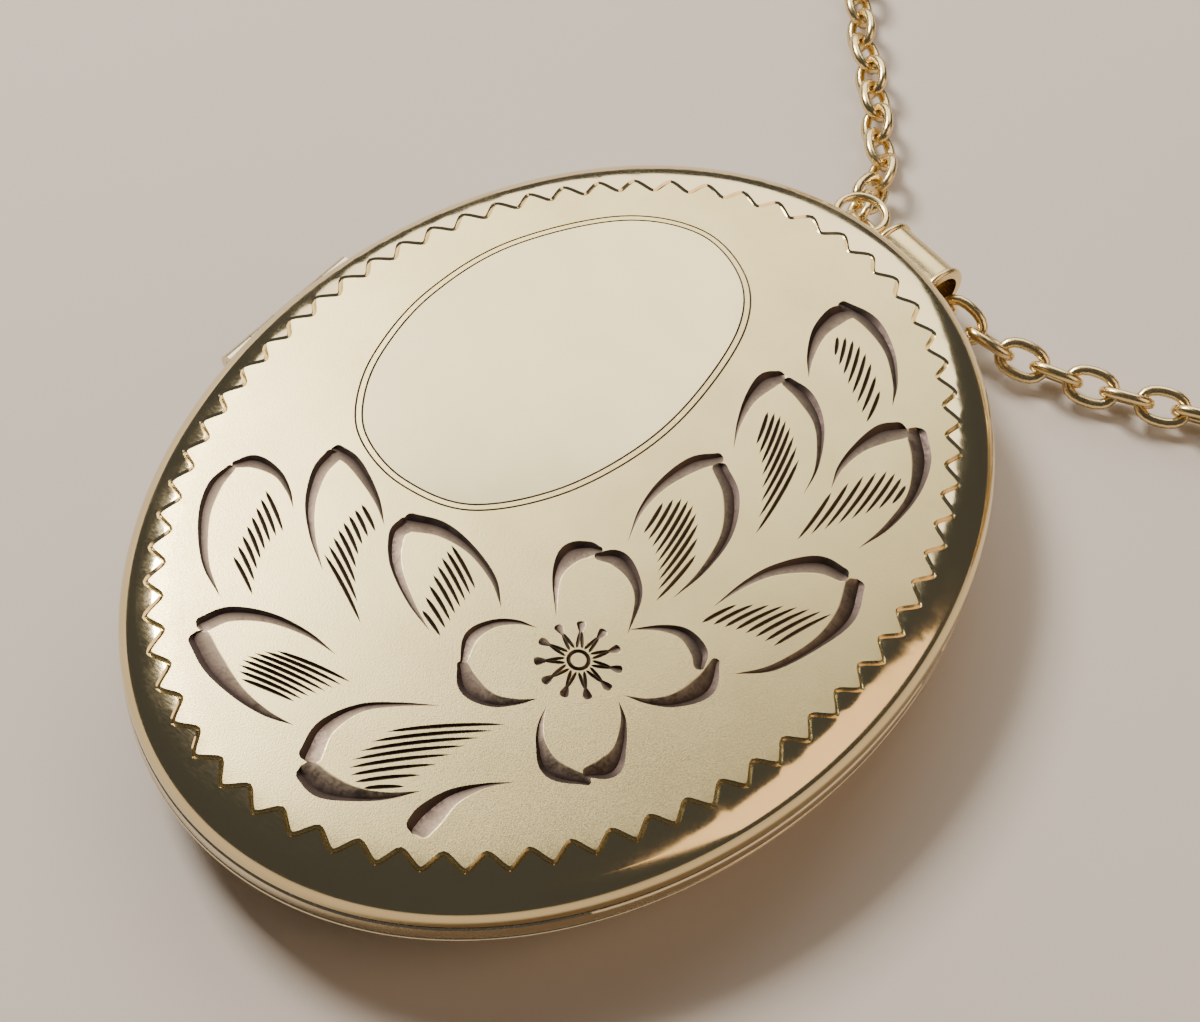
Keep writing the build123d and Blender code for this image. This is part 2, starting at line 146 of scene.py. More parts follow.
# ---- flower and leaves: one burin stroke is (side of the steep wall, [(x, y, width), ...]) -----
# The side is 1 on the left of the stroke's way, and -1 on its right.
PETALS = [
    (1, [(3.4, -5.6, 0), (2.3, -4.2, 0.34), (2.05, -3.1, 0.85),
         (2.4, -2.5, 0.72), (2.75, -2.25, 0.35)]),
    (-1, [(5.7, -4.4, 0), (5.1, -3.0, 0.26), (4.4, -2.35, 0.48),
          (3.5, -2.1, 0.75), (2.85, -2.5, 0.35)]),
    (1, [(5.6, -4.2, 0), (6.4, -3.4, 0.26), (7.2, -3.0, 0.52),
         (8.0, -3.2, 0.66), (8.4, -3.7, 0.4)]),
    (-1, [(7.1, -6.4, 0), (7.9, -6.0, 0.24), (8.6, -5.3, 0.56),
          (9.0, -4.2, 0.85), (8.7, -3.1, 0.3)]),
    (-1, [(5.3, -8.5, 0), (5.6, -9.2, 0.2), (6.1, -9.8, 0.38),
          (7.0, -10.25, 0.76), (8.2, -9.8, 0.35)]),
    (1, [(7.1, -6.7, 0), (7.7, -7.2, 0.2), (8.25, -8.1, 0.45),
         (8.4, -8.9, 0.85), (7.95, -9.6, 0.4)]),
    (-1, [(3.1, -6.3, 0), (2.4, -6.6, 0.2), (1.8, -7.2, 0.36),
          (1.55, -8.1, 0.52), (2.0, -9.1, 0.25)]),
    (1, [(4.9, -8.5, 0), (4.4, -9.1, 0.25), (3.7, -9.6, 0.55),
         (2.8, -9.65, 0.85), (2.0, -9.15, 0.4)]),
]
LEAF_EDGES = [
    (1, [(-6.4, -12.5, 0), (-7.9, -11.7, 0.27), (-9.3, -10.3, 0.45),
         (-10.0, -9.0, 0.57), (-10.1, -8.0, 0.36)]),
    (-1, [(-7.0, -8.0, 0), (-7.7, -7.5, 0.18), (-8.6, -7.15, 0.36),
          (-9.6, -7.25, 0.62), (-10.1, -7.8, 0.34)]),
    (1, [(-4.3, -9.4, 0), (-5.6, -8.5, 0.22), (-6.7, -7.4, 0.42),
         (-7.4, -6.1, 0.6), (-7.5, -5.2, 0.68)]),
    (-1, [(-3.9, -6.5, 0), (-4.8, -5.85, 0.22), (-5.8, -5.35, 0.42),
          (-6.8, -5.0, 0.56), (-7.6, -5.0, 0.58)]),
    (1, [(0.3, -8.9, 0), (-1.1, -8.35, 0.26), (-2.5, -7.5, 0.44),
         (-3.3, -6.5, 0.62), (-3.3, -5.9, 0.75)]),
    (-1, [(1.6, -6.5, 0), (0.6, -5.75, 0.25), (-0.8, -5.3, 0.38),
          (-2.2, -5.3, 0.68), (-3.3, -5.8, 0.85)]),
    (-1, [(-1.6, -11.7, 0), (-3.0, -11.7, 0.22), (-4.5, -12.05, 0.44),
          (-5.7, -12.8, 0.65), (-6.15, -13.7, 0.7)]),
    (1, [(-0.9, -14.7, 0), (-2.0, -14.95, 0.26), (-3.3, -14.95, 0.5),
         (-4.7, -14.65, 0.82), (-5.9, -14.15, 0.82)]),
    (-1, [(2.5, -10.9, 0), (1.3, -11.85, 0.18), (0.4, -12.8, 0.36),
          (0.0, -14.1, 0.7), (0.3, -15.2, 0.85)]),
    (1, [(4.1, -13.8, 0), (3.3, -14.7, 0.28), (2.4, -15.35, 0.56),
         (1.4, -15.75, 0.98), (0.6, -15.7, 0.9)]),
    (-1, [(6.3, -11.5, 0), (5.6, -12.3, 0.22), (5.05, -13.3, 0.62),
          (4.9, -14.3, 1.0), (4.9, -14.9, 0.95)]),
    (1, [(3.3, -1.3, 0), (2.8, 0.2, 0.2), (2.7, 1.7, 0.44), (3.0, 3.2, 0.68), (3.55, 4.1, 0.5)]),
    (-1, [(6.0, -2.1, 0), (6.1, -0.4, 0.22), (5.8, 1.5, 0.44),
          (4.9, 3.0, 0.65), (3.8, 3.75, 0.62)]),
    (1, [(3.7, 4.8, 0), (3.15, 5.9, 0.18), (2.75, 7.2, 0.46),
         (2.7, 8.4, 0.84), (2.95, 9.0, 0.6)]),
    (-1, [(6.9, 4.9, 0), (6.5, 6.4, 0.14), (5.5, 8.0, 0.4), (4.3, 8.8, 0.74), (3.3, 8.95, 0.55)]),
    (1, [(3.8, 9.7, 0), (3.2, 10.7, 0.3), (2.75, 12.0, 0.62),
         (2.75, 13.2, 0.9), (2.95, 13.7, 0.75)]),
    (-1, [(7.0, 10.9, 0), (6.4, 12.0, 0.22), (5.3, 13.2, 0.46),
          (3.9, 13.9, 0.78), (2.6, 13.85, 0.55)]),
    (1, [(7.5, 5.9, 0), (7.2, 7.0, 0.24), (7.2, 8.3, 0.5), (7.5, 9.5, 0.9), (7.9, 10.15, 0.85)]),
    (-1, [(9.8, 4.4, 0), (10.05, 6.0, 0.24), (9.95, 7.9, 0.42),
          (9.3, 9.5, 0.78), (8.4, 10.5, 0.85)]),
    (1, [(7.3, -1.4, 0), (7.6, 0.2, 0.24), (8.1, 1.5, 0.48),
         (9.1, 2.75, 0.8), (10.05, 3.05, 0.65)]),
    (-1, [(9.5, -3.1, 0), (10.4, -1.9, 0.26), (11.0, 0.0, 0.4),
          (11.1, 1.7, 0.75), (10.6, 3.05, 0.75)]),
]
# veins of a leaf: how many, then the first, middle and last line as (x, y, x, y)
VEINS = [
    (8, (-8.4, -8.0, -6.6, -9.0), (-7.9, -9.4, -6.5, -10.2), (-7.3, -10.9, -5.6, -11.7)),
    (8, (-5.2, -6.3, -4.0, -6.9), (-5.15, -7.5, -3.65, -8.3), (-4.8, -8.8, -1.8, -10.2)),
    (8, (-1.5, -5.6, 0.4, -6.5), (-1.25, -6.8, 0.5, -7.6), (-0.5, -8.4, 0.7, -8.8)),
    (8, (-3.4, -12.9, -0.5, -12.2), (-4.1, -13.8, -1.0, -13.15), (-3.6, -14.5, -1.5, -14.0)),
    (8, (1.7, -12.9, 4.7, -10.0), (1.55, -14.6, 4.1, -11.8), (2.5, -15.0, 3.55, -14.05)),
    (9, (3.2, 1.0, 3.5, -0.6), (4.1, 1.7, 4.65, -1.3), (5.5, 0.0, 5.6, -2.6)),
    (8, (3.6, 7.2, 4.2, 5.6), (4.5, 7.3, 5.4, 4.3), (5.8, 6.2, 6.6, 2.2)),
    (8, (3.4, 12.3, 3.9, 11.4), (4.5, 12.5, 5.3, 10.4), (6.2, 11.2, 6.7, 9.5)),
    (8, (7.6, 5.8, 7.9, 3.1), (8.45, 8.0, 8.75, 5.0), (9.5, 8.1, 9.6, 7.0)),
    (8, (7.4, -2.2, 7.9, -0.7), (8.65, -1.55, 9.4, 0.6), (9.9, -1.2, 10.7, 1.4)),
]
STROKE_STEPS = 8                          # points of a stroke between two of its given points
STROKE_HEAD = ((0.14, 0.9), (0.25, 0.66), (0.33, 0))    # (how far on, width), in head widths
STROKE_DEPTH = 0.16                       # of a stroke 1 mm wide
STROKE_DEPTH_POWER = 0.8
STEEP_SHARE = 0.3                         # of a stroke's width, taken by its steep wall
VEIN_WIDTH = 0.165
VEIN_BOW = 0.02                           # of its length
VEIN_POINTS = 9
VEIN_SWELL = (0.8, 0.5)                   # powers of the place along a vein and of its width
VEIN_DEPTH = 0.45                         # of its width
VEIN_VALLEY = 0.4
FLOWER_CENTRE = (5.02, -6.36)
BOSS_R = 0.36
BOSS_POINTS = 24
BOSS_CUT = 0.16
BOSS_DEPTH = 0.07
STAMENS = 11
STAMEN_R = (0.46, 1.2, 1.48)              # inner end, neck and tip of a stamen
STAMEN_FIRST = 157.0                      # degrees
STAMEN_CUT = 0.14
STAMEN_SPREAD = (0.1, 0.03)               # from its axis to each of its two lines, at their ends
STAMEN_HEAD = ((-0.2, 0), (0, 0.17), (0.12, 0.27))      # (beyond the neck, width)
STAMEN_TIP = 0.36                         # width at the tip
THINNEST = 1e-4                           # a cut narrower than this is a point
SLIVER = 1e-9                             # a facet of less area is left out

# ---- chain -------------------------------------------------------------------------------------
LINK_PITCH = 1.53
LINK_WIRE_R = 0.225
LINK_LEAN = 40                            # links of a laid chain lean to both sides, in degrees
LINK_JITTER = 9                           # degrees, at random
LINK_REACH = 0.4                          # the line's direction is taken this far each way
LINK_HALF = (0.99, 0.65)                  # half length and half width of a link's centre line
LINK_SQUARENESS = 2.4                     # 2 is an ellipse
LINK_POINTS = (20, 8)                     # round a link and round its wire
LAID_Z = 0.9                              # centre line of what lies on the floor
UPPER_Z = 2.65                            # and of the turns that lie on other turns
CLASP_Z = 1.1
COIL_CENTRE = (23.5, 42.5)
TURN_POINTS = 16                          # of the route, to a turn of the coil
ROUTE_RESOLUTION = 16
LEFT_ROUTE = [
    (2.55, 19.97, 1.95),
    (-0.30, 20.60, 1.95),
    (-1.70, 22.30, 1.30),
    (-1.65, 24.60, LAID_Z),
    (-3.60, 26.90, LAID_Z),
    (-5.30, 29.20, LAID_Z),
    (-8.00, 31.90, LAID_Z),
    (-10.50, 35.40, LAID_Z),
    (-12.40, 40.20, LAID_Z),
    (-10.40, 46.30, LAID_Z),
    (-4.40, 51.40, LAID_Z),
    (4.00, 54.70, LAID_Z),
    (12.00, 56.60, 1.50),
    (18.00, 56.40, 2.60),
    (23.50, 54.90, UPPER_Z),
]
RIGHT_ROUTE = [
    (2.55, 19.97, 1.95),
    (4.70, 19.495, 1.95),
    (6.90, 19.45, 1.30),
    (9.40, 20.15, LAID_Z),
    (12.30, 21.00, LAID_Z),
    (15.60, 22.45, LAID_Z),
    (19.40, 24.00, LAID_Z),
    (24.00, 27.30, LAID_Z),
    (29.76, 31.74, LAID_Z),
]


# ---- camera ------------------------------------------------------------------------------------
def make_camera():
    """A short telephoto lens, about 36 degrees off straight above."""
    data = bpy.data.cameras.new("camera")
    data.lens = 71.9
    data.sensor_width = 36
    data.clip_start = 0.001
    data.clip_end = 10
    camera = bpy.data.objects.new("camera", data)
    right = Vector((0.78605, 0.61297, 0.07989))
    up = Vector((-0.53651, 0.61232, 0.58071))
    turn = Matrix((right, up, right.cross(up))).transposed()
    place = Vector((28.82, -45.0, 77.385)) * MM
    camera.matrix_world = Matrix.LocRotScale(place, turn, None)
    bpy.context.scene.collection.objects.link(camera)
    bpy.context.scene.camera = camera


make_camera()


# ---- meshes ------------------------------------------------------------------------------------
def add_object(name, mesh, body=None, materials=()):
    """Links a mesh, smooth shaded, and rides it on a body."""
    for material in materials:
        mesh.materials.append(material)
    mesh.polygons.foreach_set("use_smooth", [True] * len(mesh.polygons))
    obj = bpy.data.objects.new(name, mesh)
    bpy.context.scene.collection.objects.link(obj)
    if body:
        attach(obj, body)
    return obj


def mesh_from(name, points, faces):
    """A mesh from points in millimetres."""
    mesh = bpy.data.meshes.new(name)
    mesh.from_pydata([tuple(MM * c for c in p) for p in points], [], faces)
    return mesh


def weld(mesh):
    """Merges points that lie together, which drops the faces that the notches flattened."""
    work = bmesh.new()
    work.from_mesh(mesh)
    bmesh.ops.remove_doubles(work, verts=work.verts, dist=WELD_DISTANCE * MM)
    work.to_mesh(mesh)
    work.free()


def smooth_through(points, steps):
    """Catmull-Rom curve through given points of any dimension."""
    p = np.array(points, float)
    p = np.vstack([2 * p[0] - p[1], p, 2 * p[-1] - p[-2]])
    out = []
    for a, b, c, d in zip(p, p[1:], p[2:], p[3:]):
        for t in np.arange(steps) / steps:
            out.append(0.5 * (2 * b + (c - a) * t + (2 * a - 5 * b + 4 * c - d) * t ** 2
                              + (3 * b - a - 3 * c + d) * t ** 3))
    return np.array(out + [p[-2]])


def smooth_loop(points, steps):
    """Closed Catmull-Rom curve."""
    p = list(points)
    curve = smooth_through(p[-2:] + p + p[:3], steps)
    return curve[2 * steps:(2 + len(p)) * steps]


def bezier(a, b, c, d, steps):
    """Points of a cubic curve with control points a to d."""
    a, b, c, d = (np.array(q, float) for q in (a, b, c, d))
    t = np.linspace(0, 1, steps + 1)[:, None]
    return a * (1 - t) ** 3 + 3 * b * t * (1 - t) ** 2 + 3 * c * t ** 2 * (1 - t) + d * t ** 3


# ---- chain: separate links laid along the route's smooth line ----------------------------------
def read_centre_line(points):
    """Points of the NURBS spline that has the route's points as control points."""
    curve = bpy.data.curves.new("route", "CURVE")
    curve.dimensions = "3D"
    spline = curve.splines.new("NURBS")
    spline.points.add(len(points) - 1)
    for place, p in zip(spline.points, points):
        place.co = (*(MM * c for c in p), 1)
    spline.order_u = 3
    spline.use_endpoint_u = True
    spline.resolution_u = ROUTE_RESOLUTION
    obj = bpy.data.objects.new("route", curve)
    mesh = bpy.data.meshes.new_from_object(obj)
    line = np.array([v.co for v in mesh.vertices]) / MM
    bpy.data.objects.remove(obj)
    bpy.data.curves.remove(curve)
    bpy.data.meshes.remove(mesh)
    return line


def about_coil(angle, radius, z):
    """A point at an angle in degrees and a radius about the middle of the coil."""
    a = math.radians(angle)
    return (COIL_CENTRE[0] + radius * math.cos(a), COIL_CENTRE[1] + radius * math.sin(a), z)


def coil_route(start_angle, turn, start_r, end_r, z):
    """Turns of the put-away strand, winding inwards, after the route's last point."""
    steps = round(abs(turn) / 360 * TURN_POINTS)
    return [about_coil(start_angle + turn * i / steps, start_r + (end_r - start_r) * i / steps, z)
            for i in range(1, steps)]


def tail_route(start_angle, start_r, turn, bend, steps, level, start_z, end_z):
    """From the innermost turn inwards: an arc of radius bend that touches that turn.

    It stays level for some of its steps and then sinks to end_z.
    """
    middle = about_coil(start_angle, start_r - bend, 0)
    points = []
    for i in range(steps + 1):
        b = math.radians(start_angle + turn * i / steps)
        sink = max(0, (i - level) / (steps - level))
        points.append((middle[0] + bend * math.cos(b), middle[1] + bend * math.sin(b),
                       start_z + (end_z - start_z) * sink))
    return points


def link_ring():
    """One link about the origin, long in X and flat in Z: a rounded oblong of round wire."""
    around, across = LINK_POINTS
    rings = []
    for i in range(around):
        a = 2 * math.pi * i / around
        c, s = math.cos(a), math.sin(a)
        out = Vector((c / LINK_HALF[0], s / LINK_HALF[1], 0)).normalized()
        fullness = (abs(c) ** LINK_SQUARENESS + abs(s) ** LINK_SQUARENESS) ** (-1 / LINK_SQUARENESS)
        middle = Vector((LINK_HALF[0] * c, LINK_HALF[1] * s, 0)) * fullness
        for j in range(across):
            b = 2 * math.pi * j / across
            rings.append(middle + (out * math.cos(b) + Vector((0, 0, math.sin(b)))) * LINK_WIRE_R)
    faces = []
    for i in range(around):
        for j in range(across):
            k, l = (i + 1) % around, (j + 1) % across
            faces.append((i * across + j, k * across + j, k * across + l, i * across + l))
    return np.array(rings), faces


def chain_strand(name, route, first):
    """Links along a route, leaning to one side and the other by turns, from link number first.

    Returns the object, its centre line and that line's length.
    """
    line = read_centre_line(route)
    runs = np.linalg.norm(np.diff(line, axis=0), axis=1)
    along = np.concatenate([[0], np.cumsum(runs)])
    ring, ring_faces = link_ring()
    points, faces = [], []
    for number in range(first, int(along[-1] / LINK_PITCH) + 1):
        s = number * LINK_PITCH
        before, middle, after = (
            Vector([np.interp(min(s + d, along[-1]), along, line[:, i]) for i in range(3)])
            for d in (-LINK_REACH, 0, LINK_REACH))
        x = (after - before).normalized()
        y = Vector((0, 0, 1)).cross(x).normalized()
        z = x.cross(y)
        jitter = random.uniform(-LINK_JITTER, LINK_JITTER)
        roll = math.radians(LINK_LEAN + 90 * (number % 2) + jitter)
        side = y * math.cos(roll) + z * math.sin(roll)
        turn = np.array([x, side, x.cross(side)])
        base = len(points) * len(ring)
        points.append(ring @ turn + np.array(middle))
        faces += [tuple(base + v for v in face) for face in ring_faces]
    mesh = mesh_from(name, np.concatenate(points), faces)
    return add_object(name, mesh, "back_half"), line, along[-1]


def make_chain():
    """Both strands: from the bail to the coil, the coil's turns, and the end at its fitting."""
    left = LEFT_ROUTE + coil_route(start_angle=90, turn=-(316 + 2 * 360), start_r=12.4, end_r=7.4,
                                   z=UPPER_Z)
    left += tail_route(start_angle=134, start_r=7.4, turn=-180, bend=5.55, steps=7, level=3,
                       start_z=UPPER_Z, end_z=CLASP_Z + 0.1)
    right = RIGHT_ROUTE + coil_route(start_angle=-59.8, turn=94.8 + 2 * 360, start_r=12.45,
                                     end_r=8.5, z=LAID_Z)
    right += tail_route(start_angle=35, start_r=8.5, turn=154, bend=6.7, steps=6, level=4,
                        start_z=LAID_Z, end_z=CLASP_Z)
    strands = {}
    for side, route, first, fittings in (
            ("left", left, 0, ["end_ring"]),
            ("right", right, 1, ["clasp_link", "clasp_body", "clasp_bolt", "clasp_spring"])):
        strand, line, length = chain_strand(f"chain_{side}_links", route, first)
        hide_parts(f"chain_{side}", f"chain_{side}_coil", f"chain_{side}_end")
        strands[side] = strand
    return strands


strands = make_chain()


# ---- dome of the front -------------------------------------------------------------------------
TURN_CURVE = bezier(*FRONT_TURN, steps=60)


def dome_z(x, y):
    """Height of the front above a point in the plan."""
    r = np.hypot(np.asarray(x) / SQUEEZE, y)
    arc = CROWN_Z - DOME_R + np.sqrt(DOME_R ** 2 - np.minimum(r, SHOULDER[0]) ** 2)
    turn = np.interp(r, TURN_CURVE[:, 0], TURN_CURVE[:, 1])
    return np.where(r <= SHOULDER[0], arc, turn)


def column_angles():
    """Angles of the edge's columns: even, but closer at the two notches."""
    notch = math.asin(NOTCH_HALF_Y / HALF_LENGTH)
    step = math.radians(PAIR_STEP)
    ends = [math.pi + side * notch + d * step for side in (-1, 1) for d in (-1, 1)]
    thumb = math.asin(THUMB_Y / HALF_LENGTH)
    fine = [thumb + math.radians(THUMB_STEP * k) for k in range(-THUMB_COLUMNS, THUMB_COLUMNS + 1)]
    gap = math.radians(COLUMN_GAP)
    even = [math.radians(degrees) for degrees in np.arange(0, 360, COLUMN_STEP)]
    clear = [a for a in even if all(abs(a - b) > gap for b in ends + fine)]
    return sorted(clear + ends + fine)


COLUMNS = column_angles()


def in_hinge_notch(angle):
    """Whether a column meets the notch that the hinge lies in."""
    return math.cos(angle) < 0 and abs(HALF_LENGTH * math.sin(angle)) < NOTCH_HALF_Y


def thumb_cut(angle):
    """How far the thumb notch cuts into the edge."""
    off = HALF_LENGTH * math.sin(angle) - THUMB_Y
    if math.cos(angle) < 0 or abs(off) > THUMB_R:
        return 0
    return max(0, THUMB_DEPTH - THUMB_R + math.sqrt(THUMB_R ** 2 - off ** 2))


def turned_rows(rows):
    """Points of profile rows (r, z) over the columns, with the hinge's and thumb's notches cut."""
    points = []
    for r, z in rows:
        for angle in COLUMNS:
            z_here, r_here = z, r
            if in_hinge_notch(angle) and abs(z - SEAM_Z) < NOTCH_HALF_Z:
                z_here = SEAM_Z + math.copysign(NOTCH_HALF_Z, z - SEAM_Z)
            if abs(z - SEAM_Z) < THUMB_HALF_Z and r > HALF_LENGTH - SHEET / 2:
                r_here = r - thumb_cut(angle)
            points.append((SQUEEZE * r_here * math.cos(angle), r_here * math.sin(angle), z_here))
    return points


def strips(rows, first):
    """Quads between neighbouring rows of columns, from vertex number first."""
    n = len(COLUMNS)
    faces = []
    for i in range(rows - 1):
        for j in range(n):
            k = (j + 1) % n
            a, b = first + i * n, first + (i + 1) * n
            faces.append((a + j, b + j, b + k, a + k))
    return faces


# ---- engraving ---------------------------------------------------------------------------------
class Engraving:
    """Cuts in the plan: each is a run of facets from an edge down to a valley."""

    def __init__(self):
        self.points = []
        self.depths = []
        self.edges = []
        self.facets = []                  # (three vertex ids, kind)

    def point(self, p, depth=0.0):
        """Adds a point and returns its id."""
        self.points.append((float(p[0]), float(p[1])))
        self.depths.append(float(depth))
        return len(self.points) - 1

    def cut(self, centre, width, depth, valley, kinds, closed=False):
        """A groove along centre, whose left and right walls are of the two kinds.

        valley is where its bottom lies, from 0 at the left edge to 1 at the right.
        """
        c = np.array(centre, float)
        if closed:
            tangent = np.roll(c, -1, axis=0) - np.roll(c, 1, axis=0)
        else:
            tangent = np.gradient(c, axis=0)
        tangent /= np.linalg.norm(tangent, axis=1)[:, None]
        normal = np.stack([-tangent[:, 1], tangent[:, 0]], axis=1)
        stations = []
        for p, n, w, d in zip(c, normal, width, depth):
            if w < THINNEST:
                stations.append([self.point(p)] * 3)
            else:
                stations.append([self.point(p + n * w / 2),
                                 self.point(p + n * w * (0.5 - valley), d),
                                 self.point(p - n * w / 2)])
        pairs = list(zip(stations, stations[1:]))
        if closed:
            pairs.append((stations[-1], stations[0]))
        for (l0, v0, r0), (l1, v1, r1) in pairs:
            self.edges += [e for e in ((l0, l1), (v0, v1), (r0, r1)) if e[0] != e[1]]
            for e0, e1, kind in ((l0, l1, kinds[0]), (r0, r1, kinds[1])):
                for ids in ((e0, e1, v1), (e0, v1, v0)):
                    if len(set(ids)) == 3:
                        self.facets.append((ids, kind))

    def read(self, places):
        """At each place: depth, its share of the cut's full depth, and the deepest facet or -1."""
        depth = np.zeros(len(places))
        share = np.zeros(len(places))
        owner = np.full(len(places), -1)
        order = np.argsort(places[:, 0])
        sorted_x = places[order, 0]
        slack = PLAN_TOLERANCE
        for number, (ids, _) in enumerate(self.facets):
            a, b, c = (np.array(self.points[i]) for i in ids)
            area = (b[0] - a[0]) * (c[1] - a[1]) - (b[1] - a[1]) * (c[0] - a[0])
            if abs(area) < SLIVER:
                continue
            first = np.searchsorted(sorted_x, min(a[0], b[0], c[0]) - slack)
            last = np.searchsorted(sorted_x, max(a[0], b[0], c[0]) + slack)
            near = order[first:last]
            p = places[near]
            wb = ((p[:, 0] - a[0]) * (c[1] - a[1]) - (p[:, 1] - a[1]) * (c[0] - a[0])) / area
            wc = ((b[0] - a[0]) * (p[:, 1] - a[1]) - (b[1] - a[1]) * (p[:, 0] - a[0])) / area
            held = (wb > -slack) & (wc > -slack) & (wb + wc < 1 + slack)
            da, db, dc = (self.depths[i] for i in ids)
            here = da + wb * (db - da) + wc * (dc - da)
            held &= here >= depth[near]
            depth[near[held]] = here[held]
            share[near[held]] = ((da > 0) * (1 - wb - wc) + (db > 0) * wb + (dc > 0) * wc)[held]
            owner[near[held]] = number
        return depth, share, owner

    def stroke(self, side, points):
        """A crescent burin cut: thin tail, wide rounded head, steep wall on one side."""
        line = smooth_through(points, STROKE_STEPS)
        heading = (line[-1] - line[-2])[:2]
        heading /= np.linalg.norm(heading)
        head = line[-1, 2]
        cap = [(*(line[-1, :2] + heading * head * out), head * wide) for out, wide in STROKE_HEAD]
        line = np.vstack([line, cap])
        width = np.maximum(line[:, 2], 0)
        width[0] = 0
        depth = STROKE_DEPTH * width ** STROKE_DEPTH_POWER
        depth[-1] = 0
        valley = STEEP_SHARE if side > 0 else 1 - STEEP_SHARE
        kinds = ("steep", "slope") if side > 0 else ("slope", "steep")
        self.cut(line[:, :2], width, depth, valley, kinds)

    def vein(self, a, b, width, bow=0.0):
        """A fine cut from a to b, widest before its middle and bowed by a share of its length."""
        a, b = np.array(a, float), np.array(b, float)
        across = np.array([a[1] - b[1], b[0] - a[0]])
        t = np.linspace(0, 1, VEIN_POINTS)
        line = a + (b - a) * t[:, None] + across * (bow * 4 * t * (1 - t))[:, None]
        swell = np.maximum(np.sin(np.pi * t ** VEIN_SWELL[0]), 0) ** VEIN_SWELL[1]
        swell[[0, -1]] = 0
        self.cut(line, width * swell, VEIN_DEPTH * width * swell, VEIN_VALLEY, ("vein", "vein"))


def border_line():
    """The wave round the field: pointed teeth with rounded tips, standing off an oval."""
    t = np.linspace(0, 2 * math.pi, OVAL_POINTS)
    oval = np.stack([BORDER_HALF[0] * np.cos(t), BORDER_HALF[1] * np.sin(t)], axis=1)
    along = np.concatenate([[0], np.cumsum(np.linalg.norm(np.diff(oval, axis=0), axis=1))])
    steps = BORDER_TEETH * BORDER_STEPS
    s = (BORDER_PHASE + np.arange(steps) / steps) % 1 * along[-1]
    x, y = (np.interp(s, along, oval[:, i]) for i in (0, 1))
    out = np.stack([x / BORDER_HALF[0] ** 2, y / BORDER_HALF[1] ** 2], axis=1)
    out /= np.linalg.norm(out, axis=1)[:, None]
    swing = np.cos(2 * math.pi * np.arange(steps) / BORDER_STEPS)
    wave = np.arcsin(BORDER_POINT * swing) / math.asin(BORDER_POINT)
    line = np.stack([x, y], axis=1) + out * (BORDER_RISE * 0.5 * (1 - wave))[:, None]
    c, s = math.cos(BORDER_TURN), math.sin(BORDER_TURN)
    return line @ np.array([[c, s], [-s, c]]) + np.array(BORDER_CENTRE)


def inset_loop(loop, distance):
    """A closed anticlockwise line moved inwards, or a clockwise one moved outwards."""
    tangent = np.roll(loop, -1, axis=0) - np.roll(loop, 1, axis=0)
    tangent /= np.linalg.norm(tangent, axis=1)[:, None]
    return loop + np.stack([-tangent[:, 1], tangent[:, 0]], axis=1) * distance


def engrave_front():
    """Every cut of the front, and the lines that part its satin from its polished metal."""
    work = Engraving()
    border = border_line()
    n = len(border)
    work.cut(border, [BORDER_CUT] * n, [BORDER_DEPTH] * n, 0.5, ("border_in", "border_out"),
             closed=True)
    panel = smooth_loop(CARTOUCHE, CARTOUCHE_STEPS)
    n = len(panel)
    for shift in (0, CARTOUCHE_GAP):
        work.cut(inset_loop(panel, shift), [CARTOUCHE_CUT] * n, [CARTOUCHE_DEPTH] * n, 0.5,
                 ("vein", "vein"), closed=True)
    for side, points in PETALS + LEAF_EDGES:
        work.stroke(side, points)
    for count, *keys in VEINS:
        first, middle, last = (np.array(k) for k in keys)
        for i in range(count):
            t = i / (count - 1)
            line = first * (1 - t) * (1 - 2 * t) + middle * 4 * t * (1 - t) + last * t * (2 * t - 1)
            work.vein(line[:2], line[2:], VEIN_WIDTH, VEIN_BOW)
    centre = np.array(FLOWER_CENTRE)
    turn = np.linspace(0, 2 * math.pi, BOSS_POINTS, endpoint=False)
    boss = centre + BOSS_R * np.stack([np.cos(turn), np.sin(turn)], axis=1)
    work.cut(boss, [BOSS_CUT] * BOSS_POINTS, [BOSS_DEPTH] * BOSS_POINTS, 0.5, ("vein", "vein"),
             closed=True)
    inner, neck, tip = STAMEN_R
    for i in range(STAMENS):
        a = math.radians(STAMEN_FIRST - 360 * i / STAMENS)
        out = np.array([math.cos(a), math.sin(a)])
        across = np.array([-out[1], out[0]])
        for side in (-1, 1):
            work.vein(centre + out * inner + across * STAMEN_SPREAD[0] * side,
                      centre + out * neck + across * STAMEN_SPREAD[1] * side, STAMEN_CUT)
        head = [(neck + beyond, width) for beyond, width in STAMEN_HEAD] + [(tip, STAMEN_TIP)]
        work.stroke(1, [(*(centre + out * r), width) for r, width in head])
    return work, border, inset_loop(panel, CARTOUCHE_GAP)


# kinds of face, in the order of the front's material slots
KINDS = ["field", "polished", "panel", "steep", "slope", "vein", "border_in", "border_out"]


def inside_loop(places, loop):
    """Which places lie inside a closed line, by counting its crossings to their right."""
    x, y = places[:, 0], places[:, 1]
    inside = np.zeros(len(places), bool)
    for (x0, y0), (x1, y1) in zip(loop, np.roll(loop, -1, axis=0)):
        if y0 != y1:
            crossing = ((y0 > y) != (y1 > y)) & (x < (x1 - x0) * (y - y0) / (y1 - y0) + x0)
            inside ^= crossing
    return inside


def closed_turning(rows, first=0):
    """Faces of a solid turned from rows, with the first and last row capped."""
    n = len(COLUMNS)
    last = first + (len(rows) - 1) * n
    return ([tuple(range(first, first + n))] + strips(len(rows), first)
            + [tuple(reversed(range(last, last + n)))])


